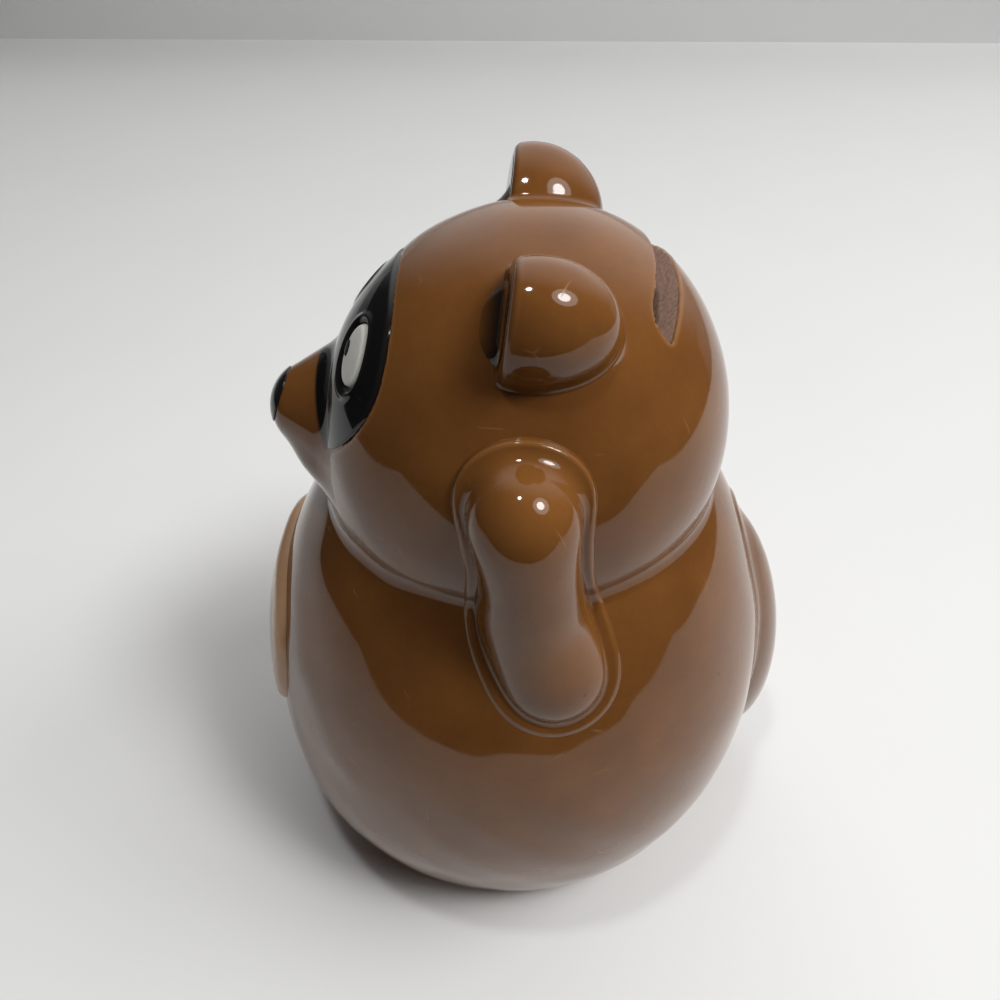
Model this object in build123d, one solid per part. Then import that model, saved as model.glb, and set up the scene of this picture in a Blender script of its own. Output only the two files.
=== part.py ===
from build123d import *
from math import cos, radians, sin, sqrt, tan
import os

# Seated tanuki in glazed pottery, hollow, made as a coin bank.
# Millimetres, +Z up, the face looks along -Y and its left side is +X.

# Body and head castings
wall = 4.5
body_radius = 55.7  # widest part of the belly
body_half_height = 72.0  # of the oval that gives the body its sides
belly_height = 40.5  # widest part above the table
head_radius = 37.3
head_half_height = 42.4
head_tilt = 13.3  # degrees that the crown leans back
head_sink = 9.0  # head centre below the top of the body's oval
neck_lip = 11.0  # open end of the head below the seam
turn_start = 30.0  # degrees ahead of the left side

# Foot and emptying hole
foot_height = 3.5
foot_width = 9.0
foot_round = 2.0
hole_radius = 16.0

# Stopper
stopper_clearance = 0.05
flange_overlap = 3.5
flange_thickness = 2.0
plug_reach = 3.0  # beyond the floor of the body
plug_wall = 3.0
plug_lead = 1.0
grip_length = 22.0
grip_width = 5.0
grip_height = 0.9

# Coin slot
slot_length = 32.5
slot_width = 6.2
slot_lift = 57.3  # degrees above level, at the back of the crown

# Ears
ear_radius = 12.5
ear_half_width = 9.8  # along its own axis, which points outwards and down
ear_roll = 36.0  # degrees that this axis points below level
ear_spread = 29.1  # degrees from upright
ear_sink = 2.5
ear_back = 1.5  # behind the head's centre
ear_front = 3.4  # flat front ahead of the head's centre
ear_lean = 9.0  # degrees that the flat front leans back
lining_rim = 1.2
lining_depth = 0.8

# Muzzle and nose
muzzle_lift = 8.0
muzzle_pitch = 11.7
muzzle_length = 9.2
muzzle_tip_radius = 8.7
muzzle_half_angle = 41.5
muzzle_root = 11.0
nose_pitch = 22.7  # the nose sits a little above the muzzle's middle line
nose_depth = 1.8
nose_raise = 0.3

# Mask and eyes
mask_lift = 29.1
mask_half_width = 21.3
mask_half_height = 15.3
patch_raise = 0.4
eye_lift = 39.1
eye_turn = 22.6
eye_long = 5.3
eye_short = 2.8
eye_slant = 40.0  # long axis below level, outwards
eye_raise = 0.4
pupil_inset = 0.1
pupil_long = 1.4
pupil_short = 0.6
pupil_raise = 0.3

# Arms
paw_lift = 20.0
paw_turn = 91.2
paw_radius = 7.9
wrist_turn = 93.0
wrist_radius = 6.9
elbow_drop = 0.5  # below the neck seam
elbow_turn = 91.0
elbow_radius = 7.2
heel_drop = 11.3  # back of the elbow below the neck seam
heel_turn = 96.8
heel_radius = 8.5
arm_stand = 2.0  # arm's middle line outside the castings
heel_sink = 3.8  # and inside the body at the heel, since the arm hangs straight
rod_ease = 0.1  # rods between the rounds are this much thinner

# Belly and tail
panel_width = 48.0
panel_foot = 33.0  # lower edge above the table
panel_drop = 19.5  # upper edge below the neck seam
panel_corner = 19.0
panel_side = 1.0  # least straight run between two corners
panel_raise = 2.2
tail_radius = 14.3
tail_half_length = 41.2
tail_height = 45.2
tail_tilt = 12.8
tail_stand = 6.5  # beyond the body

head_center = belly_height + body_half_height - head_sink


def spheroid(radius, half_height):
    # turned about Z, starting on the cheek between the arm and the eye
    side = EllipticalCenterArc((0, 0), radius, half_height, start_angle=-90, arc_size=180)
    axis = Line((0, half_height), (0, -half_height))
    return Rot(Z=-turn_start) * revolve(Plane.XZ * make_face([side, axis]), Axis.Z)


def body_oval(grow=0):
    return Pos(0, 0, belly_height) * spheroid(body_radius + grow, body_half_height + grow)


def head_oval(grow=0):
    oval = spheroid(head_radius + grow, head_half_height + grow)
    return Pos(0, 0, head_center) * Rot(X=-head_tilt) * oval


def body_width(height):
    return body_radius * sqrt(1 - ((height - belly_height) / body_half_height) ** 2)


def direction(lift, turn):
    # lift is up from level, turn is from the face towards the left side
    level = cos(radians(lift))
    return Vector(level * sin(radians(turn)), -level * cos(radians(turn)), sin(radians(lift)))


def head_surface(lift, turn):
    # point of the head's outside along a direction from its centre, and its normal
    way = direction(lift, turn)
    crown = Vector(0, sin(radians(head_tilt)), cos(radians(head_tilt)))
    along = way.dot(crown)
    across = way - crown * along
    scale = 1 / sqrt(across.length**2 / head_radius**2 + along**2 / head_half_height**2)
    normal = across * (1 / head_radius**2) + crown * (along / head_half_height**2)
    return Vector(0, 0, head_center) + way * scale, normal.normalized()


def seam_height():
    # height at the sides where the head's outside meets the body's
    low = belly_height
    high = head_center
    while high - low > 1e-6:
        middle = (low + high) / 2
        upright = (middle - head_center) * cos(radians(head_tilt)) / head_half_height
        lean = (middle - head_center) * sin(radians(head_tilt)) / head_radius
        if (body_width(middle) / head_radius) ** 2 + upright**2 + lean**2 > 1:
            low = middle
        else:
            high = middle
    return low


seam = seam_height()


def make_body():
    recess_radius = body_width(0) - foot_width
    floor_top = foot_height + wall
    outside = split(body_oval(), Plane.XY, keep=Keep.TOP)
    outside = fillet(outside.edges().sort_by(Axis.Z)[0], foot_round)
    cavity = split(body_oval(-wall), Plane.XY.offset(floor_top), keep=Keep.TOP)
    recess = extrude(Circle(recess_radius), foot_height)
    hole = extrude(Circle(hole_radius), floor_top)
    return outside - cavity - recess - hole - head_oval()


def make_head():
    shell = head_oval() - head_oval(-wall)
    shell = split(shell, Plane.XY.offset(seam - neck_lip), keep=Keep.TOP)
    place, normal = head_surface(slot_lift, 180)
    slot = extrude(SlotOverall(slot_length, slot_width), 2 * wall, both=True)
    return shell - Plane(place, x_dir=(1, 0, 0), z_dir=normal) * slot


def make_ear(turn):
    place, normal = head_surface(90 - ear_spread, turn)
    center = place - direction(90 - ear_spread, turn) * ear_sink + Vector(0, ear_back, 0)
    axis = Plane(center, x_dir=(0, -1, 0), z_dir=direction(-ear_roll, turn))
    front = Plane((center.X, -ear_front, center.Z), x_dir=(1, 0, 0), z_dir=direction(ear_lean, 0))
    lobe = axis * spheroid(ear_radius, ear_half_width)
    lobe = split(lobe, front, keep=Keep.BOTTOM) - head_oval()
    field = axis * spheroid(ear_radius - lining_rim, ear_half_width - lining_rim)
    field = split(field, front, keep=Keep.BOTTOM)
    lining = split(field, front.offset(-lining_depth), keep=Keep.TOP) - head_oval()
    return lobe - lining, lining


def muzzle_cone(grow=0):
    # blunt cone on its own axis, from its root inside the head to its round tip
    slope = radians(muzzle_half_angle)
    radius = muzzle_tip_radius + grow
    tip_center = muzzle_length - muzzle_tip_radius
    tip = (0, tip_center + radius)
    half = (radians(90) - slope) / 2
    round_middle = (radius * sin(half), tip_center + radius * cos(half))
    tangent = (radius * cos(slope), tip_center + radius * sin(slope))
    base = (tangent[0] + (tangent[1] + muzzle_root) * tan(slope), -muzzle_root)
    outline = [
        ThreePointArc(tip, round_middle, tangent),
        Polyline(tangent, base, (0, -muzzle_root), tip),
    ]
    return revolve(Plane.XZ * make_face(outline), Axis.Z)


def make_muzzle():
    place, normal = head_surface(muzzle_lift, 0)
    forward = direction(muzzle_pitch, 0)
    nose_way = direction(nose_pitch, 0)
    axis = Plane(place, x_dir=(1, 0, 0), z_dir=forward)
    tip_center = place + forward * (muzzle_length - muzzle_tip_radius)
    nose_place = tip_center + nose_way * (muzzle_tip_radius - nose_depth)
    nose_seat = Plane(nose_place, x_dir=(1, 0, 0), z_dir=nose_way)
    snout = split(axis * muzzle_cone(), nose_seat, keep=Keep.BOTTOM)
    nose = split(axis * muzzle_cone(nose_raise), nose_seat, keep=Keep.TOP)
    return snout - head_oval() - body_oval(), nose


def oval_ray(center, long, short, slant=0):
    # oval carried forwards from the head's middle
    oval = Ellipse(long, short, rotation=-slant)
    place = Plane((center.X, 0, center.Z), x_dir=(1, 0, 0), z_dir=(0, -1, 0))
    return place * extrude(oval, head_radius + head_half_height)


def make_eye(muzzle):
    mask_center, normal = head_surface(mask_lift, 0)
    eye_center, normal = head_surface(eye_lift, eye_turn)
    pupil_center = eye_center - Vector(eye_short - pupil_short - pupil_inset, 0, 0)
    levels = [0, patch_raise, patch_raise + eye_raise, patch_raise + eye_raise + pupil_raise]
    skins = [head_oval(level) for level in levels]
    mask = (skins[1] - skins[0]) & oval_ray(mask_center, mask_half_width, mask_half_height)
    patch = split(mask, Plane.YZ, keep=Keep.TOP) - muzzle
    eye = (skins[2] - skins[1]) & oval_ray(eye_center, eye_long, eye_short, eye_slant)
    pupil = (skins[3] - skins[2]) & oval_ray(pupil_center, pupil_long, pupil_short, eye_slant)
    return patch, eye, pupil


def make_arm():
    def beside_body(drop, turn, stand):
        height = seam - drop
        out = body_width(height) + stand
        return Vector(out * sin(radians(turn)), -out * cos(radians(turn)), height)

    paw, normal = head_surface(paw_lift, paw_turn)
    wrist, normal = head_surface(0, wrist_turn)
    path = [
        paw + direction(paw_lift, paw_turn) * arm_stand,
        wrist + direction(0, wrist_turn) * arm_stand,
        beside_body(elbow_drop, elbow_turn, arm_stand),
        beside_body(heel_drop, heel_turn, -heel_sink),
    ]
    radii = [paw_radius, wrist_radius, elbow_radius, heel_radius]
    arm = Pos(path[0]) * Sphere(radii[0])
    for start, end, first, last in zip(path, path[1:], radii, radii[1:]):
        base = (Align.CENTER, Align.CENTER, Align.MIN)
        rod = Cone(first - rod_ease, last - rod_ease, (end - start).length, align=base)
        arm = arm + Plane(start, z_dir=end - start) * rod + Pos(end) * Sphere(last)
    return arm - head_oval() - body_oval()


def make_panel():
    height = seam - panel_drop - panel_foot
    corner = min(panel_corner, (min(panel_width, height) - panel_side) / 2)
    field = RectangleRounded(panel_width, height, corner)
    middle = Plane((0, 0, panel_foot + height / 2), x_dir=(1, 0, 0), z_dir=(0, -1, 0))
    skin = body_oval(panel_raise) - body_oval()
    return skin & middle * extrude(field, body_radius + body_half_height)


tail_center = body_width(tail_height) + tail_stand - tail_radius


def make_tail():
    lobe = Rot(X=tail_tilt) * spheroid(tail_radius, tail_half_length)
    return Pos(0, tail_center, tail_height) * lobe - body_oval()


def make_stopper():
    plug_radius = hole_radius - stopper_clearance
    plug_height = wall + plug_reach
    flange_low = foot_height - flange_thickness
    plug = extrude(Circle(plug_radius), plug_height)
    plug = chamfer(plug.edges().sort_by(Axis.Z)[-1], plug_lead)
    plug = Pos(0, 0, foot_height) * plug
    cup = Pos(0, 0, foot_height) * extrude(Circle(plug_radius - plug_wall), plug_height)
    flange = Pos(0, 0, flange_low) * extrude(Circle(hole_radius + flange_overlap), flange_thickness)
    grip = Pos(0, 0, flange_low) * extrude(SlotOverall(grip_length, grip_width), -grip_height)
    return flange + grip + (plug - cup)


left_ear, left_ear_lining = make_ear(90)
right_ear, right_ear_lining = make_ear(-90)
muzzle, nose_tip = make_muzzle()
left_eye_patch, left_eye, left_pupil = make_eye(muzzle)

pieces = {
    "body_shell": make_body(),
    "head_shell": make_head(),
    "muzzle": muzzle,
    "nose_tip": nose_tip,
    "belly_panel": make_panel(),
    "tail": make_tail(),
    "base_stopper": make_stopper(),
    "left_ear": left_ear,
    "left_ear_lining": left_ear_lining,
    "right_ear": right_ear,
    "right_ear_lining": right_ear_lining,
}
pairs = {
    "eye_patch": left_eye_patch,
    "eye": left_eye,
    "pupil": left_pupil,
    "arm": make_arm(),
}
for name, shape in pairs.items():
    pieces["left_" + name] = shape
    pieces["right_" + name] = mirror(shape, Plane.YZ)

# The origin is on the table, midway between the front of the belly and the back of the tail
lean = radians(tail_tilt)
back = tail_center + sqrt((tail_radius * cos(lean)) ** 2 + (tail_half_length * sin(lean)) ** 2)
front = body_radius + panel_raise
to_middle = Pos(0, (front - back) / 2, 0)

os.makedirs("parts", exist_ok=True)
for name, shape in pieces.items():
    export_step(to_middle * shape, f"parts/{name}.step")
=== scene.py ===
from math import cos, log, radians, sin, sqrt

import bpy
import numpy as np
import openvdb
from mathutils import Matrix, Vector


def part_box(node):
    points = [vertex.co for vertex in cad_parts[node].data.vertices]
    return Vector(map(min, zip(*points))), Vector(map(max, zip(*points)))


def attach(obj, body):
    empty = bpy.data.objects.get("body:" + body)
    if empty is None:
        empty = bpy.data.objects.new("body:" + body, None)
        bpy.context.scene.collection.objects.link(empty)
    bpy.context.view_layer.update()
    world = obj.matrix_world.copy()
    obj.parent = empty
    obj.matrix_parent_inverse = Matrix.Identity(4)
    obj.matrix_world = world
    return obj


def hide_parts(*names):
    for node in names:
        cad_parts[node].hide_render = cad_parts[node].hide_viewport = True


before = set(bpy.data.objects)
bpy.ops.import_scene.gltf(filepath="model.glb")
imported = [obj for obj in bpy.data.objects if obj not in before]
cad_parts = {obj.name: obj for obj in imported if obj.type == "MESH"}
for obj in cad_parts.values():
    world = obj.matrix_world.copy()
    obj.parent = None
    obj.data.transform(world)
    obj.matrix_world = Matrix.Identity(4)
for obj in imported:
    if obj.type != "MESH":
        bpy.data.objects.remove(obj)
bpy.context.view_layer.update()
print("frame loaded:", len(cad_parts), "nodes")

# The clay is shaped in millimetres about the upright line through the body, and meshed in metres
scene = bpy.context.scene
perMetre = 1000
bodyLow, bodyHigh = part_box("body_shell")
turningLine = np.array([0.0, (bodyLow.y + bodyHigh.y) / 2 * perMetre, 0.0])
hair, tiny = 1e-6, 1e-9  # keep divisions away from zero


# Blending of clay forms. A form is below zero inside, in millimetres
def softMin(a, b, size):
    near = np.maximum(size - np.abs(a - b), 0) / size
    return np.minimum(a, b) - near * near * size / 4


def softMax(a, b, size):
    return -softMin(-a, -b, size)


def oval(across, along, radius, halfLength):
    # turned oval, from the squared distance to its line and the distance along it
    near = np.sqrt(across / radius**2 + along**2 / halfLength**2)
    slope = np.sqrt(across / radius**4 + along**2 / halfLength**4)
    return near * (near - 1) / np.maximum(slope, hair)


def ridge(off, width):
    # one on a line, falling away to both sides of it
    return np.exp(-((off / width) ** 2))


def clamp01(values):
    return np.clip(values, 0, 1)


def smoothStep(values):
    t = clamp01(values)
    return t * t * (3 - 2 * t)


handWork = dict(
    height=0.045, sink=2.6,
    waves=[
        (0.21, 0.17, 0.26, 0.4), (0.11, 0.31, 0.19, 2.1),
        (0.37, 0.09, 0.12, 4.0), (0.29, 0.34, 0.41, 1.2),
    ],
)


def handWobble(x, y, z):
    # slow unevenness of a slip cast wall, alike on both sides and always inwards
    total = handWork["sink"]
    for alongX, alongY, alongZ, start in handWork["waves"]:
        total = total + np.cos(alongX * x) * np.sin(alongY * y + alongZ * z + start)
    return total * handWork["height"]


# Body and head castings
body = dict(
    radius=55.7, halfHeight=72.0, belly=40.5, wall=4.5, step=0.9,
    footHeight=3.5, footWidth=9.0, footRound=6.0, footEdge=0.8, recessRound=1.0,
    hole=16.05, holeEdge=0.3, holeCut=1.0, floorRound=2.0, insideEdge=0.6,
    lap=1.6, lapFront=40.0, lapLow=2.0, lapRise=12.0, lapHigh=50.0, lapFall=24.0,
    bareFoot=1.2, bareInside=2.6,
)
head = dict(
    radius=37.3, halfHeight=42.4, center=103.5, lean=radians(13.3), wall=4.5, step=0.62,
    neckEnd=83.9, neckEdge=0.8, insideEdge=0.4,
    slotLift=57.3, slotRear=2.8, slotFront=2.3, slotStraight=12.2, slotEnd=4.2, slotCorner=0.8,
    slotCut=2.5, slotLip=0.5, slotThick=4.0, slotSpread=7.0, slotStart=1.4, slotBare=0.45,
)
neck = dict(fillet=2.0, sink=0.08, reach=2.4, root=1.2, bodyOverlap=0.6)
shoulder = dict(swell=1.6, start=3.0, length=24.0, spread=13.0)  # at the back, under the head
seatDepth = 0.12  # how far ears and muzzle sit in the skin of the head


def headAxes(y, z):
    # distances up and back from the middle of the head, along its lean
    above = z - head["center"]
    up = y * sin(head["lean"]) + above * cos(head["lean"])
    back = y * cos(head["lean"]) - above * sin(head["lean"])
    return up, back


def bodyOval(x, y, z, grow=0.0):
    return oval(x**2 + y**2, z - body["belly"], body["radius"] + grow, body["halfHeight"] + grow)


def headOval(x, y, z, grow=0.0):
    up, back = headAxes(y, z)
    return oval(x**2 + back**2, up, head["radius"] + grow, head["halfHeight"] + grow)


def bodySkin(x, y, z):
    backwards = smoothStep((y - shoulder["start"]) / shoulder["length"])
    near = ridge(headOval(x, y, z), shoulder["spread"])
    rise = smoothStep((z - body["lapLow"]) / body["lapRise"])
    fall = smoothStep((body["lapHigh"] - z) / body["lapFall"])
    lap = smoothStep(-y / body["lapFront"]) * rise * fall
    swell = shoulder["swell"] * backwards * near + body["lap"] * lap
    return bodyOval(x, y, z) + handWobble(x, y, z) - swell


def headSkin(x, y, z):
    return headOval(x, y, z) + handWobble(x, y, z)


def bodyWidth(height):
    return body["radius"] * sqrt(1 - ((height - body["belly"]) / body["halfHeight"]) ** 2)


def towards(lift, turn):
    # lift is up from level, turn is from the face towards the figure's left, in degrees
    level = cos(radians(lift))
    return np.array([level * sin(radians(turn)), -level * cos(radians(turn)), sin(radians(lift))])


def onHead(lift, turn):
    way = towards(lift, turn)
    crown = np.array([0, sin(head["lean"]), cos(head["lean"])])
    along = way.dot(crown)
    across = way - crown * along
    reach = 1 / sqrt(across.dot(across) / head["radius"] ** 2 + along**2 / head["halfHeight"] ** 2)
    normal = across / head["radius"] ** 2 + crown * along / head["halfHeight"] ** 2
    return np.array([0, 0, head["center"]]) + way * reach, normal / np.linalg.norm(normal)


def headFacing(x, y, z):
    # sideways and upward parts of the unit normal of the head's outside, for lines drawn on it
    up, back = headAxes(y, z)
    alongX = x / head["radius"] ** 2
    alongBack = back / head["radius"] ** 2
    alongUp = up / head["halfHeight"] ** 2
    length = np.sqrt(alongX**2 + alongBack**2 + alongUp**2) + tiny
    alongZ = alongUp * cos(head["lean"]) - alongBack * sin(head["lean"])
    return alongX / length, alongZ / length


# Meshing: the surface where a form is zero
meshWork = dict(margin=2.5, turns=5, leastSlope=0.05, slopeReach=0.04, bendReach=0.8)
layerLimit = 2.0


def limited(values):
    return np.clip(values, -layerLimit, layerLimit)


def slopeOf(form, points):
    reach = meshWork["slopeReach"]
    slope = np.empty_like(points)
    for axis in range(3):
        aside = np.zeros(3)
        aside[axis] = reach
        ahead = form(*(points + aside).T)
        behind = form(*(points - aside).T)
        slope[:, axis] = (ahead - behind) / (2 * reach)
    return slope


def bendOf(form, points):
    # how sharply the clay bends, above zero on edges and below zero in creases
    reach = meshWork["bendReach"]
    sides = np.vstack([np.eye(3), -np.eye(3)]) * reach
    return sum(form(*(points + side).T) for side in sides) / reach**2


def meshForm(name, form, low, high, step):
    margin = meshWork["margin"] * step
    axes = [np.arange(a - margin, b + margin, step) for a, b in zip(low, high)]
    cells = form(axes[0][:, None, None], axes[1][None, :, None], axes[2][None, None, :])
    grid = openvdb.FloatGrid()
    grid.copyFromArray(np.ascontiguousarray(cells, dtype=np.float32))
    points, quads = grid.convertToQuads(isovalue=0.0)
    points = points.astype(float) * step + np.array([a[0] for a in axes])
    for turn in range(meshWork["turns"]):  # onto the exact surface
        slope = slopeOf(form, points)
        miss = form(*points.T) / np.maximum((slope**2).sum(1), meshWork["leastSlope"])
        points -= np.clip(miss, -step / 2, step / 2)[:, None] * slope
    normals = slopeOf(form, points)
    normals /= np.linalg.norm(normals, axis=1)[:, None] + tiny
    return finishMesh(name, points, quads.astype(int), normals)


def finishMesh(name, points, quads, normals):
    corners = points[quads]
    faceNormals = np.cross(corners[:, 2] - corners[:, 0], corners[:, 3] - corners[:, 1])
    if (faceNormals * normals[quads[:, 0]]).sum() < 0:
        quads = quads[:, ::-1]
    mesh = bpy.data.meshes.new(name)
    mesh.from_pydata(((points + turningLine) / perMetre).tolist(), [], quads.tolist())
    mesh.polygons.foreach_set("use_smooth", np.ones(len(quads), dtype=bool))
    mesh.normals_split_custom_set_from_vertices(normals.tolist())
    piece = bpy.data.objects.new(name, mesh)
    scene.collection.objects.link(piece)
    print("meshed", name, len(quads), "faces")
    return piece, points, normals, quads


def addPiece(node, form, low, high, step, finish, layers=None, paired=False):
    name = "left_" + node if paired else node
    piece, points, normals, quads = meshForm(name, form, low, high, step)
    painted = layers(points) if layers else {}
    painted["bend"] = limited(bendOf(form, points))
    settle(piece, name, painted, finish)
    if paired:
        name = "right_" + node
        mirror = np.array([-1, 1, 1])
        piece = finishMesh(name, points * mirror, quads[:, ::-1], normals * mirror)[0]
        settle(piece, name, painted, finish)


def settle(piece, node, painted, finish):
    for layer, values in painted.items():
        spread = piece.data.attributes.new(layer, "FLOAT", "POINT")
        spread.data.foreach_set("value", np.asarray(values, dtype=np.float32))
    piece.name = "glazed_" + node
    piece.data.materials.append(finish)
    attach(piece, "stopper" if node == "base_stopper" else "bank")
    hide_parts(node)


# Finishes
mixSockets = dict(share=0, first=6, second=7, result=2)  # of the color kind of mix node


def newFinish(name):
    finish = bpy.data.materials.new(name)
    finish.use_nodes = True
    tree = finish.node_tree
    return finish, tree, tree.nodes["Principled BSDF"]


def addNode(tree, kind, inputs=None, **settings):
    node = tree.nodes.new(kind)
    for key, value in settings.items():
        setattr(node, key, value)
    for key, value in (inputs or {}).items():
        if isinstance(value, bpy.types.NodeSocket):
            tree.links.new(value, node.inputs[key])
        else:
            node.inputs[key].default_value = value
    return node


def objectPlace(tree):
    return addNode(tree, "ShaderNodeTexCoord").outputs["Object"]


def clayNoise(tree, place, scale, detail):
    inputs = {"Vector": place, "Scale": scale, "Detail": detail}
    return addNode(tree, "ShaderNodeTexNoise", inputs).outputs["Fac"]


def remap(tree, value, low, high, newLow=0.0, newHigh=1.0):
    inputs = {"Value": value, "From Min": low, "From Max": high, "To Min": newLow, "To Max": newHigh}
    return addNode(tree, "ShaderNodeMapRange", inputs).outputs["Result"]


def mixColor(tree, share, first, second, blend="MIX"):
    inputs = {mixSockets["share"]: share, mixSockets["first"]: first, mixSockets["second"]: second}
    made = addNode(tree, "ShaderNodeMix", inputs, data_type="RGBA", blend_type=blend)
    return made.outputs[mixSockets["result"]]


def maths(tree, operation, first, second=0.0):
    return addNode(tree, "ShaderNodeMath", {0: first, 1: second}, operation=operation).outputs[0]


def times(tree, first, second):
    return maths(tree, "MULTIPLY", first, second)


def layerValue(tree, name):
    return addNode(tree, "ShaderNodeAttribute", attribute_name=name).outputs["Fac"]


def wireFinish(tree, shader, color, rough, height, strength, depth):
    bump = addNode(tree, "ShaderNodeBump", {"Height": height, "Strength": strength, "Distance": depth})
    tree.links.new(color, shader.inputs["Base Color"])
    tree.links.new(rough, shader.inputs["Roughness"])
    tree.links.new(bump.outputs["Normal"], shader.inputs["Normal"])


glazeLooks = dict(
    brown=dict(
        deep=(0.150, 0.056, 0.0135, 1), warm=(0.205, 0.080, 0.019, 1),
        thin=(0.30, 0.135, 0.045, 1), pooled=(0.075, 0.025, 0.008, 1),
    ),
    black=dict(
        deep=(0.0035, 0.0034, 0.0036, 1), warm=(0.007, 0.0065, 0.0065, 1),
        thin=(0.016, 0.013, 0.012, 1), pooled=(0.002, 0.002, 0.002, 1),
    ),
    white=dict(
        deep=(0.69, 0.68, 0.61, 1), warm=(0.77, 0.76, 0.69, 1),
        thin=(0.80, 0.79, 0.73, 1), pooled=(0.40, 0.37, 0.31, 1),
    ),
    tan=dict(
        deep=(0.50, 0.285, 0.155, 1), warm=(0.58, 0.35, 0.20, 1),
        thin=(0.66, 0.45, 0.29, 1), pooled=(0.27, 0.13, 0.06, 1),
    ),
)
# a range is from low to high, then what they become where that isn't 0 to 1
glazeWork = dict(
    cloudScale=55.0, cloudRange=(0.32, 0.68), speckScale=900.0, speckRange=(0.35, 0.75), speckShare=0.10,
    thinRange=(0.35, 1.3, 0.0, 0.55), pooledRange=(-0.25, -1.2, 0.0, 0.75),
    pitScale=150.0, pitRange=(0.075, 0.035), pitChance=0.93, pitShare=0.8,
    scuffScale=85.0, scuffRange=(0.014, 0.004), patchScale=170.0, patchRange=(0.66, 0.72),
    scuffShare=0.45, scuffRough=0.2, roughScale=240.0, roughRange=(0.3, 0.75, 0.045, 0.10),
    waveScale=130.0, waveHeight=0.35, bumpStrength=0.1, bumpDepth=0.0004, ior=1.43,
)
clayWork = dict(
    color=(0.52, 0.34, 0.26, 1), gritScale=1500.0, gritRange=(0.3, 0.7, 0.65, 1.15),
    rough=0.85, height=0.6, rimShare=0.6,
)
bellyLine = dict(inset=6.0, waverScale=90.0, waverRange=(0.0, 1.0, -0.5, 0.5), edgeRange=(0.75, 0.45))
rubber = dict(
    color=(0.010, 0.010, 0.0095, 1), dust=(0.028, 0.026, 0.024, 1), dustScale=260.0, dustRange=(0.4, 0.75),
    roughScale=700.0, roughRange=(0.3, 0.7, 0.5, 0.72), grainScale=2200.0, grainStrength=0.25,
    grainDepth=0.0002,
)
paintFade = 0.4  # painted layers are in millimetres, and fade in over this much


def makeGlaze(name, look):
    work = glazeWork
    finish, tree, shader = newFinish(name)
    place = objectPlace(tree)
    cloud = remap(tree, clayNoise(tree, place, work["cloudScale"], detail=3.0), *work["cloudRange"])
    speck = remap(tree, clayNoise(tree, place, work["speckScale"], detail=2.0), *work["speckRange"])
    bend = layerValue(tree, "bend")
    color = mixColor(tree, cloud, look["deep"], look["warm"])
    color = mixColor(tree, times(tree, speck, work["speckShare"]), color, look["pooled"])
    color = mixColor(tree, remap(tree, bend, *work["thinRange"]), color, look["thin"])
    color = mixColor(tree, remap(tree, bend, *work["pooledRange"]), color, look["pooled"])

    # pinholes in the glaze, one in a few cells
    cells = addNode(tree, "ShaderNodeTexVoronoi", {"Vector": place, "Scale": work["pitScale"]})
    chosen = addNode(tree, "ShaderNodeSeparateColor", {"Color": cells.outputs["Color"]}).outputs["Red"]
    near = remap(tree, cells.outputs["Distance"], *work["pitRange"])
    pit = times(tree, near, maths(tree, "GREATER_THAN", chosen, work["pitChance"]))
    color = mixColor(tree, times(tree, pit, work["pitShare"]), color, look["pooled"])

    # short fine scuffs
    inputs = {"Vector": place, "Scale": work["scuffScale"]}
    cracks = addNode(tree, "ShaderNodeTexVoronoi", inputs, feature="DISTANCE_TO_EDGE")
    broken = remap(tree, clayNoise(tree, place, work["patchScale"], detail=1.0), *work["patchRange"])
    scuff = times(tree, remap(tree, cracks.outputs["Distance"], *work["scuffRange"]), broken)
    color = mixColor(tree, times(tree, scuff, work["scuffShare"]), color, look["thin"])

    rough = remap(tree, clayNoise(tree, place, work["roughScale"], detail=3.0), *work["roughRange"])
    rough = maths(tree, "ADD", rough, times(tree, scuff, work["scuffRough"]))
    wave = times(tree, clayNoise(tree, place, work["waveScale"], detail=1.0), work["waveHeight"])
    return finish, tree, shader, color, rough, maths(tree, "SUBTRACT", wave, pit)


def finishGlaze(tree, shader, color, rough, height):
    wireFinish(tree, shader, color, rough, height, glazeWork["bumpStrength"], glazeWork["bumpDepth"])
    shader.inputs["IOR"].default_value = glazeWork["ior"]


def makePlainGlaze(name, look):
    finish, tree, shader, color, rough, height = makeGlaze(name, look)
    finishGlaze(tree, shader, color, rough, height)
    return finish


def makeBrownGlaze():
    # brown glaze, with bare clay where the layers say, and black where they say: brushed black glaze, and in
    # front of the ears also painted shade and a painted dark reflection
    finish, tree, shader, color, rough, height = makeGlaze("brownGlaze", glazeLooks["brown"])
    place = objectPlace(tree)
    # black layer: brushed black glaze, and in front of the ears also painted shade and a painted dark
    # reflection
    blackAndShade = remap(tree, layerValue(tree, "blackAndShade"), 0.0, paintFade)
    rim = times(tree, layerValue(tree, "rim"), clayWork["rimShare"])
    color = mixColor(tree, rim, color, glazeLooks["brown"]["thin"])
    color = mixColor(tree, blackAndShade, color, glazeLooks["black"]["deep"])
    bare = remap(tree, layerValue(tree, "bare"), 0.0, paintFade)
    grit = remap(tree, clayNoise(tree, place, clayWork["gritScale"], detail=4.0), *clayWork["gritRange"])
    gray = addNode(tree, "ShaderNodeCombineColor", {"Red": grit, "Green": grit, "Blue": grit}).outputs[0]
    clay = mixColor(tree, 1.0, clayWork["color"], gray, "MULTIPLY")
    color = mixColor(tree, bare, color, clay)
    rough = maths(tree, "MAXIMUM", rough, times(tree, bare, clayWork["rough"]))
    height = maths(tree, "ADD", height, times(tree, times(tree, grit, bare), clayWork["height"]))
    finishGlaze(tree, shader, color, rough, height)
    return finish


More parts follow.
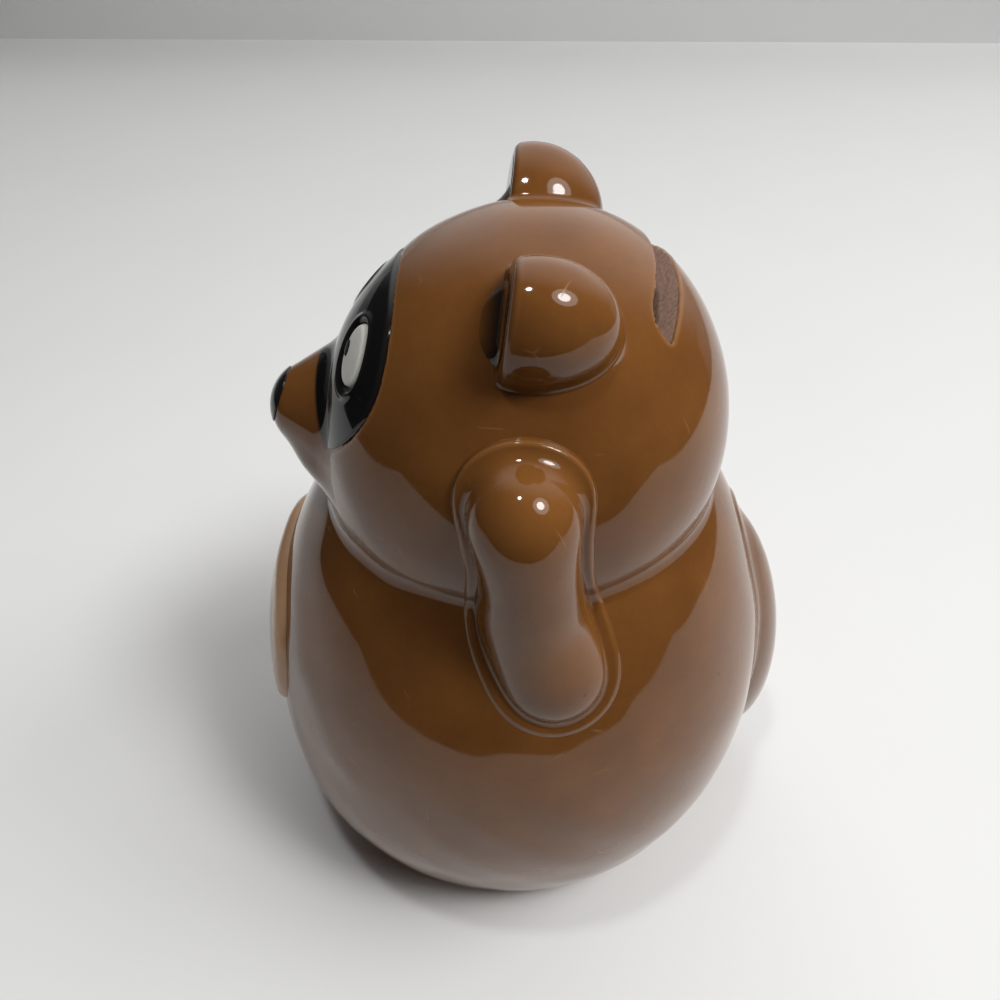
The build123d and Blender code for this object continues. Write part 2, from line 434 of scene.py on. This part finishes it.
def makeTanGlaze():
    # tan belly with a brushed brown line a little inside its edge
    finish, tree, shader, color, rough, height = makeGlaze("tanGlaze", glazeLooks["tan"])
    place = objectPlace(tree)
    inside = layerValue(tree, "inside")
    waver = remap(tree, clayNoise(tree, place, bellyLine["waverScale"], detail=2.0), *bellyLine["waverRange"])
    off = maths(tree, "ADD", maths(tree, "SUBTRACT", inside, bellyLine["inset"]), waver)
    line = remap(tree, maths(tree, "ABSOLUTE", off), *bellyLine["edgeRange"])
    color = mixColor(tree, line, color, glazeLooks["brown"]["deep"])
    finishGlaze(tree, shader, color, rough, height)
    return finish


def makeRubber():
    finish, tree, shader = newFinish("stopperRubber")
    place = objectPlace(tree)
    dust = remap(tree, clayNoise(tree, place, rubber["dustScale"], detail=4.0), *rubber["dustRange"])
    color = mixColor(tree, dust, rubber["color"], rubber["dust"])
    rough = remap(tree, clayNoise(tree, place, rubber["roughScale"], detail=3.0), *rubber["roughRange"])
    grain = clayNoise(tree, place, rubber["grainScale"], detail=2.0)
    wireFinish(tree, shader, color, rough, grain, rubber["grainStrength"], rubber["grainDepth"])
    return finish


brownGlaze = makeBrownGlaze()
blackGlaze = makePlainGlaze("blackGlaze", glazeLooks["black"])
whiteGlaze = makePlainGlaze("whiteGlaze", glazeLooks["white"])
tanGlaze = makeTanGlaze()
stopperRubber = makeRubber()
print("finishes made")

# Lines on the face, drawn in the front view and measured along the head
face = dict(
    maskLift=29.1, maskHalfWidth=21.3, maskHalfHeight=15.3, maskRaise=0.15, maskInset=0.12,
    maskEdge=0.3, maskRoot=0.8, maskStep=0.24, lap=0.35, lapSink=0.03, lapStart=0.5, lapFade=0.8,
    eyeLift=39.1, eyeTurn=22.6, eyeLong=5.3, eyeShort=2.8, eyeSlant=radians(40.0),
    eyeRaise=0.3, eyeInset=0.15, eyeEdge=0.9, eyeRoot=0.7, eyeStep=0.22,
    pupilInset=0.1, pupilLong=1.4, pupilShort=0.6, pupilRaise=0.45, pupilEdge=0.3, pupilRoot=0.0,
    pupilStep=0.14, leastTilt=0.12,
    socketWidth=0.45, socketDepth=0.5, rimPlace=1.3, rimWidth=0.6, rimHeight=0.3,
)
maskCenter = onHead(face["maskLift"], 0)[0]
eyeCenter = onHead(face["eyeLift"], face["eyeTurn"])[0]
pupilCenter = eyeCenter - np.array([face["eyeShort"] - face["pupilShort"] - face["pupilInset"], 0, 0])


def frontOval(x, y, z, center, long, short, slant=0.0):
    aside = x - center[0]
    above = z - center[2]
    u = aside * cos(slant) - above * sin(slant)
    v = aside * sin(slant) + above * cos(slant)
    near = np.sqrt(u**2 / long**2 + v**2 / short**2) + hair
    slopeU = u / long**2
    slopeV = v / short**2
    slope = np.sqrt(slopeU**2 + slopeV**2) + hair
    wayX = (slopeU * cos(slant) + slopeV * sin(slant)) / slope
    wayZ = (slopeV * cos(slant) - slopeU * sin(slant)) / slope
    normalX, normalZ = headFacing(x, y, z)
    tilt = np.sqrt(np.maximum(1 - (wayX * normalX + wayZ * normalZ) ** 2, face["leastTilt"]))
    return np.maximum(near * (near - 1) / slope / tilt, y)


def maskEdge(x, y, z):
    return frontOval(x, y, z, maskCenter, face["maskHalfWidth"], face["maskHalfHeight"])


def eyeEdge(x, y, z, shrink=0.0):
    long = face["eyeLong"] - shrink
    short = face["eyeShort"] - shrink
    return frontOval(x, y, z, eyeCenter, long, short, face["eyeSlant"])


# Head with its coin slot
slotPlace, slotNormal = onHead(head["slotLift"], 180)
slotAhead = np.cross([1, 0, 0], slotNormal)
maskLine = dict(depth=0.25, width=0.45, rimPlace=0.75, rimWidth=0.4, bed=0.9, bedFade=0.6)


def slotForm(x, y, z):
    # straight behind, bowed in front, cut square through the wall
    v = (y - slotPlace[1]) * slotAhead[1] + (z - slotPlace[2]) * slotAhead[2]
    w = (y - slotPlace[1]) * slotNormal[1] + (z - slotPlace[2]) * slotNormal[2]
    beyond = np.maximum(np.abs(x) - head["slotStraight"], 0) / head["slotEnd"]
    width = head["slotRear"] + head["slotFront"]
    bow = (np.sqrt(beyond**2 + ((v + head["slotRear"]) / width) ** 2) - 1) * width
    opening = softMax(bow, -v - head["slotRear"], head["slotCorner"])
    return np.maximum(opening, np.abs(w) - head["slotCut"] * head["wall"])


def headForm(x, y, z):
    edge = maskEdge(x, y, z)
    outside = headSkin(x, y, z) + maskLine["depth"] * ridge(edge, maskLine["width"])
    outside = outside + maskLine["bed"] * smoothStep(-edge / maskLine["bedFade"])
    skin = bodySkin(x, y, z)
    collar = softMin(outside, skin + neck["sink"], neck["fillet"])
    collar = np.maximum(collar, np.maximum(outside - neck["reach"], -skin - neck["root"]))
    shell = np.minimum(outside, collar)
    slot = slotForm(x, y, z)
    thick = head["wall"] + head["slotThick"] * smoothStep(head["slotStart"] - slot / head["slotSpread"])
    shell = softMax(shell, -headOval(x, y, z, -thick), head["insideEdge"])
    shell = softMax(shell, -slot, head["slotLip"])
    return softMax(shell, head["neckEnd"] - z, head["neckEdge"])


def headLayers(points):
    x, y, z = points.T
    inSlot = limited(-headOval(x, y, z) - head["slotBare"])
    rim = ridge(maskEdge(x, y, z) - maskLine["rimPlace"], maskLine["rimWidth"])
    return {"bare": inSlot, "rim": rim}


addPiece(
    "head_shell", headForm, low=(-41, -41, 82), high=(41, 44, 148), step=head["step"],
    finish=brownGlaze, layers=headLayers,
)


# Body with its foot ring, floor and emptying hole
def bodyForm(x, y, z):
    around = np.sqrt(x**2 + y**2)
    shell = softMax(bodySkin(x, y, z), -z, body["footRound"])
    shell = np.maximum(shell, -(headSkin(x, y, z) + neck["bodyOverlap"]))
    floorTop = body["footHeight"] + body["wall"]
    inside = softMax(bodyOval(x, y, z, -body["wall"]), floorTop - z, body["floorRound"])
    shell = softMax(shell, -inside, body["insideEdge"])
    recessRadius = bodyWidth(0) - body["footWidth"]
    recess = softMax(around - recessRadius, z - body["footHeight"], body["recessRound"])
    shell = softMax(shell, -recess, body["footEdge"])
    hole = np.maximum(around - body["hole"], z - floorTop - body["holeCut"])
    return softMax(shell, -hole, body["holeEdge"])


def bodyLayers(points):
    x, y, z = points.T
    foot = np.minimum(body["bareFoot"] - z, bodyWidth(0) - body["bareFoot"] - np.sqrt(x**2 + y**2))
    hollow = -bodyOval(x, y, z) - body["bareInside"]
    return {"bare": limited(np.maximum(foot, hollow))}


addPiece(
    "body_shell", bodyForm, low=(-55.7, -55.7, 0), high=(55.7, 55.7, 98), step=body["step"],
    finish=brownGlaze, layers=bodyLayers,
)

# Ears: plump lobes, flat in front
ear = dict(
    radius=12.5, halfWidth=9.8, roll=36.0, spread=29.1, sink=2.5, back=1.5, front=3.4, lean=9.0,
    frontEdge=1.2, foot=1.1, footReach=1.5, hollow=4.6, hollowInset=1.6, hollowRound=3.0, root=1.2, step=0.4,
    # these keys place the black run of the lining and the painted shade in the hollow in front of the ear
    bleedAndShadeStart=0.1, bleedAndShadeEdge=0.5, bleedAndShadeEnd=4.4, bleedAndShadeInset=0.8, bleedAndShadeRound=2.5,
    liningRim=1.3, liningProud=0.12, liningEdge=0.7, liningDepth=0.9, liningGap=0.5, liningFoot=0.6,
    liningStep=0.3,
)
earWay = towards(90 - ear["spread"], 90)
earCenter = onHead(90 - ear["spread"], 90)[0] - earWay * ear["sink"] + [0, ear["back"], 0]
earAxis = towards(-ear["roll"], 90)
earForward = towards(ear["lean"], 0)


def earLobe(x, y, z, shrink=0.0):
    along = (x - earCenter[0]) * earAxis[0] + (z - earCenter[2]) * earAxis[2]
    away = (x - earCenter[0]) ** 2 + (y - earCenter[1]) ** 2 + (z - earCenter[2]) ** 2
    return oval(np.maximum(away - along**2, 0), along, ear["radius"] - shrink, ear["halfWidth"] - shrink)


def earAhead(x, y, z):
    # distance ahead of the flat front
    return (y + ear["front"]) * earForward[1] + (z - earCenter[2]) * earForward[2]


def earForm(x, y, z):
    ahead = earAhead(x, y, z)
    whole = earLobe(x, y, z)
    lobe = softMax(whole, ahead, ear["frontEdge"])
    skull = headSkin(x, y, z) + seatDepth
    seated = softMin(lobe, skull, ear["foot"])
    seated = np.maximum(seated, lobe - ear["footReach"] - ear["foot"])
    hollow = softMin(ahead, skull, ear["hollow"])  # wide sweep from the flat front into the head
    hollow = softMax(hollow, whole + ear["hollowInset"], ear["hollowRound"])
    return np.maximum(np.minimum(seated, hollow), -(skull + ear["root"]))


def earLayers(points):
    # black of the lining runs a little way down the hollow in front, and the same black is painted shade and
    # a painted dark reflection of the lining in that hollow
    ahead = earAhead(*points.T)
    start, end = ear["bleedAndShadeStart"], ear["bleedAndShadeEnd"]
    within = smoothStep((-earLobe(*points.T) - ear["bleedAndShadeInset"]) / ear["bleedAndShadeRound"])
    fadeIn = smoothStep((ahead - start) / ear["bleedAndShadeEdge"])
    fadeOut = smoothStep((end - ahead) / (end - start))
    return {"blackAndShade": paintFade * within * fadeIn * fadeOut}


def liningForm(x, y, z):
    ahead = earAhead(x, y, z)
    pad = softMax(earLobe(x, y, z, ear["liningRim"]), ahead - ear["liningProud"], ear["liningEdge"])
    pad = np.maximum(pad, -ahead - ear["liningDepth"])
    return softMax(pad, -(headSkin(x, y, z) - ear["liningGap"]), ear["liningFoot"])


addPiece(
    "ear", earForm, low=(3, -18, 122), high=(34, 18, 150), step=ear["step"],
    finish=brownGlaze, layers=earLayers, paired=True,
)
addPiece(
    "ear_lining", liningForm, low=(6, -8, 126), high=(33, 2, 149), step=ear["liningStep"],
    finish=blackGlaze, paired=True,
)

# Muzzle, a blunt cone, with the black nose on its tip
muzzle = dict(
    lift=8.0, pitch=11.7, length=9.2, tipRadius=8.7, halfAngle=radians(41.5), step=0.45,
    foot=1.8, footReach=1.0, root=1.2, bodyGap=1.0,
    jaw=0.8, jawLow=1.0, jawRound=6.0, jawAhead=6.0, jawFade=5.0,
    nosePitch=22.7, noseDepth=1.8, noseRaise=0.25, noseEdge=0.5, noseRoot=1.2, noseStep=0.3,
    bandHigh=1.9, bandLow=0.1,
    mouthRise=-6.4, mouthCurl=0.013, mouthReach=7.5, mouthFade=2.0, mouthWidth=0.45, mouthDepth=0.35,
)
muzzlePlace = onHead(muzzle["lift"], 0)[0]
muzzleWay = towards(muzzle["pitch"], 0)
noseWay = towards(muzzle["nosePitch"], 0)
noseCenter = muzzlePlace + muzzleWay * (muzzle["length"] - muzzle["tipRadius"])


def muzzleAxes(x, y, z):
    along = (y - muzzlePlace[1]) * muzzleWay[1] + (z - muzzlePlace[2]) * muzzleWay[2]
    rise = (z - muzzlePlace[2]) * -muzzleWay[1] + (y - muzzlePlace[1]) * muzzleWay[2]
    return along, np.sqrt(x**2 + rise**2), rise


def muzzleCone(x, y, z, grow=0.0):
    along, around, rise = muzzleAxes(x, y, z)
    tipRadius = muzzle["tipRadius"]
    ahead = along - (muzzle["length"] - tipRadius)
    flank = around * cos(muzzle["halfAngle"]) + ahead * sin(muzzle["halfAngle"]) - tipRadius
    ball = np.sqrt(around**2 + ahead**2) - tipRadius
    onBall = around * sin(muzzle["halfAngle"]) < ahead * cos(muzzle["halfAngle"])
    return np.where(onBall, ball, flank) - grow


def mouthLine(x, y, z):
    along, around, rise = muzzleAxes(x, y, z)
    off = rise - muzzle["mouthRise"] - muzzle["mouthCurl"] * x**2
    fade = smoothStep((muzzle["mouthReach"] - np.abs(x)) / muzzle["mouthFade"])
    return ridge(off, muzzle["mouthWidth"]) * fade * smoothStep(along / muzzle["mouthFade"])


def muzzleForm(x, y, z):
    skull = headSkin(x, y, z)
    along, around, rise = muzzleAxes(x, y, z)
    under = smoothStep((-rise - muzzle["jawLow"]) / muzzle["jawRound"])
    jaw = muzzle["jaw"] * under * smoothStep((muzzle["jawAhead"] - along) / muzzle["jawFade"])
    cone = muzzleCone(x, y, z) - jaw + muzzle["mouthDepth"] * mouthLine(x, y, z)
    seated = softMin(cone, skull + seatDepth, muzzle["foot"])
    seated = np.maximum(seated, cone - muzzle["foot"] - muzzle["footReach"])
    seated = np.maximum(seated, -(skull + muzzle["root"]))
    return np.maximum(seated, -(bodySkin(x, y, z) + muzzle["bodyGap"]))


def muzzleLayers(points):
    # the mask's black runs over the foot of the muzzle, less far at the sides
    x, y, z = points.T
    near = np.sqrt((x / face["maskHalfWidth"]) ** 2 + ((z - maskCenter[2]) / face["maskHalfHeight"]) ** 2)
    reach = muzzle["bandHigh"] + (muzzle["bandLow"] - muzzle["bandHigh"]) * clamp01(near) ** 2
    inside = np.minimum(-maskEdge(x, y, z), reach - headOval(x, y, z)) + paintFade / 2
    return {"blackAndShade": limited(inside)}


def noseForm(x, y, z):
    ahead = (y - noseCenter[1]) * noseWay[1] + (z - noseCenter[2]) * noseWay[2]
    seat = muzzle["tipRadius"] - muzzle["noseDepth"]
    cap = softMax(muzzleCone(x, y, z, muzzle["noseRaise"]), seat - ahead, muzzle["noseEdge"])
    return np.maximum(cap, -(muzzleCone(x, y, z) + muzzle["noseRoot"]))


addPiece(
    "muzzle", muzzleForm, low=(-24, -54, 88), high=(24, -20, 128), step=muzzle["step"],
    finish=brownGlaze, layers=muzzleLayers,
)
addPiece(
    "nose_tip", noseForm, low=(-8, -48, 102), high=(8, -38, 120), step=muzzle["noseStep"],
    finish=blackGlaze,
)


# Eyes: raised black patch, off-white oval in a fine groove, small dark pupil
def padForm(skull, edge, raised, edgeRound, below):
    return np.maximum(softMax(skull - raised, edge, edgeRound), -(skull + below))


def maskForm(x, y, z):
    # left half of the mask, with a socket around the eye; the halves lap a little over the middle
    edge = np.maximum(maskEdge(x, y, z) + face["maskInset"], -x - face["lap"])
    fromEye = eyeEdge(x, y, z)
    rim = ridge(fromEye - face["rimPlace"], face["rimWidth"])
    socket = ridge(fromEye, face["socketWidth"])
    raised = face["maskRaise"] + face["rimHeight"] * rim - face["socketDepth"] * socket
    raised = raised - face["lapSink"] * smoothStep((face["lapStart"] - x) / face["lapFade"])
    return padForm(headSkin(x, y, z), edge, raised, face["maskEdge"], face["maskRoot"])


def eyeForm(x, y, z):
    edge = eyeEdge(x, y, z, face["eyeInset"])
    return padForm(headSkin(x, y, z), edge, face["eyeRaise"], face["eyeEdge"], face["eyeRoot"])


def pupilForm(x, y, z):
    edge = frontOval(x, y, z, pupilCenter, face["pupilLong"], face["pupilShort"], face["eyeSlant"])
    return padForm(headSkin(x, y, z), edge, face["pupilRaise"], face["pupilEdge"], face["pupilRoot"])


addPiece(
    "eye_patch", maskForm, low=(-0.5, -40, 105), high=(23, -12, 140), step=face["maskStep"],
    finish=blackGlaze, paired=True,
)
addPiece(
    "eye", eyeForm, low=(5, -36, 118), high=(20, -20, 140), step=face["eyeStep"],
    finish=whiteGlaze, paired=True,
)
addPiece(
    "pupil", pupilForm, low=(6, -36, 122), high=(15, -22, 134), step=face["pupilStep"],
    finish=blackGlaze, paired=True,
)

# Arms: bent rolls of clay, luted on with a ridge of slip around them
slip = dict(edge=0.9, seat=0.15, fillet=0.8, spread=2.0, root=1.2)
seam = 94.877  # height where head and body meet
arm = dict(
    step=0.45, melt=0.5, crowd=4.0, mostPower=60, pathSteps=9, padLow=110.0, padRise=15.0,
    reach=(1.8, 3.5), height=(0.6, 1.3), hollow=(0.5, 0.0), foot=(0.8, 3.2),
)


def luted(roll, host, reach, height, hollow, foot):
    # a form stuck on its host, with a hollow of slip that ends in a low ridge
    across = clamp01(roll / reach)
    proud = height - hollow * (1 - across**2)
    pad = softMax(roll - reach, host - proud, slip["edge"])
    joined = softMin(softMin(roll, pad, foot), host + slip["seat"], slip["fillet"])
    return np.maximum(np.maximum(joined, roll - reach - slip["spread"]), -(host + slip["root"]))


def besideHead(lift, turn, stand):
    return onHead(lift, turn)[0] + towards(lift, turn) * stand


def besideBody(drop, turn, stand):
    height = seam - drop
    out = bodyWidth(height) + stand
    return np.array([out * sin(radians(turn)), -out * cos(radians(turn)), height])


armRounds = [
    (besideHead(20.0, 90.2, 1.6), 8.8),  # paw
    (besideHead(0.0, 92.3, 0.7), 8.1),  # wrist
    (besideBody(0.5, 93.4, 0.1), 9.3),  # elbow
    (besideBody(13.2, 98.6, -7.3), 10.7),  # heel of the elbow
]


def smoothPath(rounds, count):
    # centres and radii along a smooth line through the rounds
    places = np.array([[*center, radius] for center, radius in rounds])
    ends = np.vstack([2 * places[0] - places[1], places, 2 * places[-1] - places[-2]])
    path = []
    for a, b, c, d in zip(ends, ends[1:], ends[2:], ends[3:]):
        bend = 2 * a - 5 * b + 4 * c - d
        twist = 3 * b - a - 3 * c + d
        for t in np.linspace(0, 1, count, endpoint=False):
            path.append((2 * b + (c - a) * t + bend * t**2 + twist * t**3) / 2)
    return np.array(path + [places[-1]])


armPath = smoothPath(armRounds, arm["pathSteps"])


def armRoll(x, y, z):
    # rounds melted into one smooth roll
    total = 0.0
    for centerX, centerY, centerZ, radius in armPath:
        away = np.sqrt((x - centerX) ** 2 + (y - centerY) ** 2 + (z - centerZ) ** 2) - radius
        total = total + np.exp(np.clip(-away / arm["melt"], -arm["mostPower"], arm["mostPower"]))
    return arm["melt"] * (log(arm["crowd"]) - np.log(total))


def castings(x, y, z):
    return softMin(headSkin(x, y, z), bodySkin(x, y, z), neck["fillet"])


def armForm(x, y, z):
    # a low ridge around the arm, and a mound without a hollow behind the paw
    up = smoothStep((z - arm["padLow"]) / arm["padRise"])
    pad = [low + (high - low) * up for low, high in (arm["reach"], arm["height"], arm["hollow"], arm["foot"])]
    return luted(armRoll(x, y, z), castings(x, y, z), *pad)


addPiece(
    "arm", armForm, low=(28, -16, 70), high=(62, 18, 132), step=arm["step"],
    finish=brownGlaze, paired=True,
)

# Belly: raised tan field on the front of the body
belly = dict(width=48.0, foot=33.0, drop=19.5, corner=19.0, raised=1.9, edge=2.2, root=1.2, step=0.5)


def bellyEdge(x, z):
    height = seam - belly["drop"] - belly["foot"]
    outX = np.abs(x) - belly["width"] / 2 + belly["corner"]
    outZ = np.abs(z - belly["foot"] - height / 2) - height / 2 + belly["corner"]
    away = np.sqrt(np.maximum(outX, 0) ** 2 + np.maximum(outZ, 0) ** 2)
    return away + np.minimum(np.maximum(outX, outZ), 0) - belly["corner"]


def bellyForm(x, y, z):
    plain = bodyOval(x, y, z) + handWobble(x, y, z)
    pad = softMax(plain - belly["raised"], bellyEdge(x, z), belly["edge"])
    return np.maximum(np.maximum(pad, -(bodySkin(x, y, z) + belly["root"])), y)


def bellyLayers(points):
    x, y, z = points.T
    return {"inside": -bellyEdge(x, z)}


addPiece(
    "belly_panel", bellyForm, low=(-25, -58, 32), high=(25, -42, 77), step=belly["step"],
    finish=tanGlaze, layers=bellyLayers,
)

# Tail: long round lobe laid against the back
tail = dict(
    radius=14.25, halfLength=41.1, height=45.2, tilt=radians(12.8), stand=6.45, step=0.6,
    slipReach=2.2, slipHeight=0.7, slipHollow=0.5, slipFoot=1.2,
)
tailCenter = bodyWidth(tail["height"]) + tail["stand"] - tail["radius"]


def tailForm(x, y, z):
    up = (z - tail["height"]) * cos(tail["tilt"]) - (y - tailCenter) * sin(tail["tilt"])
    back = (y - tailCenter) * cos(tail["tilt"]) + (z - tail["height"]) * sin(tail["tilt"])
    lobe = oval(x**2 + back**2, up, tail["radius"], tail["halfLength"])
    pad = (tail["slipReach"], tail["slipHeight"], tail["slipHollow"], tail["slipFoot"])
    return luted(lobe, bodySkin(x, y, z), *pad)


addPiece(
    "tail", tailForm, low=(-19, 26, 0), high=(19, 65, 90), step=tail["step"],
    finish=brownGlaze,
)

# Stopper: soft cup with a flange and a finger bar
stopper = dict(
    plug=15.9, plugLap=0.5, plugEdge=1.6, plugFoot=0.3, wall=3.0, top=10.95, seat=3.5, cupRound=1.0, lip=0.6,
    flange=19.5, flangeLow=1.5, flangeHalf=0.97, flangeEdge=0.9,
    barLow=0.6, barHigh=2.5, barLength=22.0, barWidth=5.0, barEdge=0.9, barFoot=0.7, step=0.4,
)


def stopperForm(x, y, z):
    around = np.sqrt(x**2 + y**2)
    offMiddle = np.abs(z - (stopper["flangeLow"] + stopper["seat"]) / 2)
    flange = softMax(around - stopper["flange"], offMiddle - stopper["flangeHalf"], stopper["flangeEdge"])
    ends = np.maximum(z - stopper["top"], stopper["flangeLow"] + stopper["plugLap"] - z)
    plug = softMax(around - stopper["plug"], ends, stopper["plugEdge"])
    cup = softMax(around - stopper["plug"] + stopper["wall"], stopper["seat"] - z, stopper["cupRound"])
    straight = (stopper["barLength"] - stopper["barWidth"]) / 2
    bar = np.sqrt(np.maximum(np.abs(x) - straight, 0) ** 2 + y**2) - stopper["barWidth"] / 2
    bar = softMax(bar, np.maximum(stopper["barLow"] - z, z - stopper["barHigh"]), stopper["barEdge"])
    whole = softMin(softMin(flange, bar, stopper["barFoot"]), plug, stopper["plugFoot"])
    return softMax(whole, -cup, stopper["lip"])


addPiece(
    "base_stopper", stopperForm, low=(-19.5, -19.5, 0.5), high=(19.5, 19.5, 11), step=stopper["step"],
    finish=stopperRubber,
)
print("clay pieces made")

# Table, wall, room and lamps, in metres
stageLook = dict(
    tableLow=(-0.70, -0.52), tableHigh=(0.23, 0.50), tableColor=(0.80, 0.80, 0.79, 1), tableGrain=14.0,
    wallNear=-1.6, wallFar=1.4, wallFoot=-0.2, wallHeight=0.12,
    wallColor=(0.76, 0.76, 0.755, 1), wallGrain=6.0,
    roomColor=(0.03, 0.03, 0.031, 1), windowColor=(0.97, 0.97, 0.97, 1),
    windowLift=34.0, windowTurn=-103.0, windowEdge=(0.5, 0.95), lampAim=0.1,
)
paper = dict(cloudRange=(0.3, 0.7, 0.0, 0.05), shade=0.7, rough=0.6, specular=0.25)


def makePaper(name, color, grain):
    finish, tree, shader = newFinish(name)
    cloud = remap(tree, clayNoise(tree, objectPlace(tree), grain, detail=5.0), *paper["cloudRange"])
    shaded = [part * paper["shade"] for part in color[:3]] + [1]
    made = mixColor(tree, cloud, color, shaded)
    tree.links.new(made, shader.inputs["Base Color"])
    shader.inputs["Roughness"].default_value = paper["rough"]
    shader.inputs["Specular IOR Level"].default_value = paper["specular"]
    return finish


def addSheet(name, corners, finish):
    mesh = bpy.data.meshes.new(name)
    mesh.from_pydata(corners, [], [(0, 1, 2, 3)])
    sheet = bpy.data.objects.new(name, mesh)
    scene.collection.objects.link(sheet)
    mesh.materials.append(finish)


(lowX, lowY), (highX, highY) = stageLook["tableLow"], stageLook["tableHigh"]
nearY, farY = stageLook["wallNear"], stageLook["wallFar"]
foot, top = stageLook["wallFoot"], stageLook["wallHeight"]
tablePaint = makePaper("tablePaint", stageLook["tableColor"], stageLook["tableGrain"])
addSheet("table", [(lowX, lowY, 0), (highX, lowY, 0), (highX, highY, 0), (lowX, highY, 0)], tablePaint)
wallPaint = makePaper("wallPaint", stageLook["wallColor"], stageLook["wallGrain"])
addSheet("wall", [(lowX, nearY, foot), (lowX, farY, foot), (lowX, farY, top), (lowX, nearY, top)], wallPaint)


def makeRoom():
    # dim room with a broad pale window beyond the wall
    room = bpy.data.worlds.new("room")
    room.use_nodes = True
    tree = room.node_tree
    place = addNode(tree, "ShaderNodeTexCoord").outputs["Generated"]
    window = towards(stageLook["windowLift"], stageLook["windowTurn"])
    facing = addNode(tree, "ShaderNodeVectorMath", {0: place, 1: window}, operation="DOT_PRODUCT")
    low, high = stageLook["windowEdge"]
    inputs = {"Value": facing.outputs["Value"], "From Min": low, "From Max": high}
    glow = addNode(tree, "ShaderNodeMapRange", inputs, interpolation_type="SMOOTHSTEP")
    light = mixColor(tree, glow.outputs["Result"], stageLook["roomColor"], stageLook["windowColor"])
    tree.links.new(light, tree.nodes["Background"].inputs["Color"])
    return room


def addLamp(name, turn, lift, away, size, power):
    # turn is from the camera's side towards the right of the picture, in degrees
    level = cos(radians(lift))
    way = Vector((level * cos(radians(turn)), level * sin(radians(turn)), sin(radians(lift))))
    lamp = bpy.data.lights.new(name, "AREA")
    lamp.shape = "DISK"
    lamp.size = size
    lamp.energy = power
    holder = bpy.data.objects.new(name, lamp)
    holder.location = way * away + Vector((0, 0, stageLook["lampAim"]))
    holder.rotation_mode = "QUATERNION"
    holder.rotation_quaternion = way.to_track_quat("Z", "Y")
    scene.collection.objects.link(holder)
    return holder


scene.world = makeRoom()
addLamp("keyLamp", turn=66, lift=56, away=1.30, size=0.34, power=6.2)
addLamp("keyShade", turn=67, lift=55, away=1.37, size=0.76, power=4.8)
addLamp("topLamp", turn=-50, lift=79, away=0.42, size=0.04, power=0.36)
sideLamp = addLamp("sideLamp", turn=96, lift=42, away=1.70, size=0.80, power=9.5)
sideLamp.visible_glossy = False
print("table and lamps set")

view = dict(lens=28.08, sensor=36.0, clipStart=0.01, place=(116.07, -1.87, 197.27), aim=(0.0, -3.90, 84.9))
camera = bpy.data.objects.new("camera", bpy.data.cameras.new("camera"))
scene.collection.objects.link(camera)
camera.data.lens = view["lens"]
camera.data.sensor_width = view["sensor"]
camera.data.clip_start = view["clipStart"]
camera.location = Vector(turningLine + view["place"]) / perMetre
lookAt = Vector(turningLine + view["aim"]) / perMetre
camera.rotation_mode = "QUATERNION"
camera.rotation_quaternion = (lookAt - camera.location).to_track_quat("-Z", "Y")
scene.camera = camera
scene.view_settings.view_transform = "Standard"
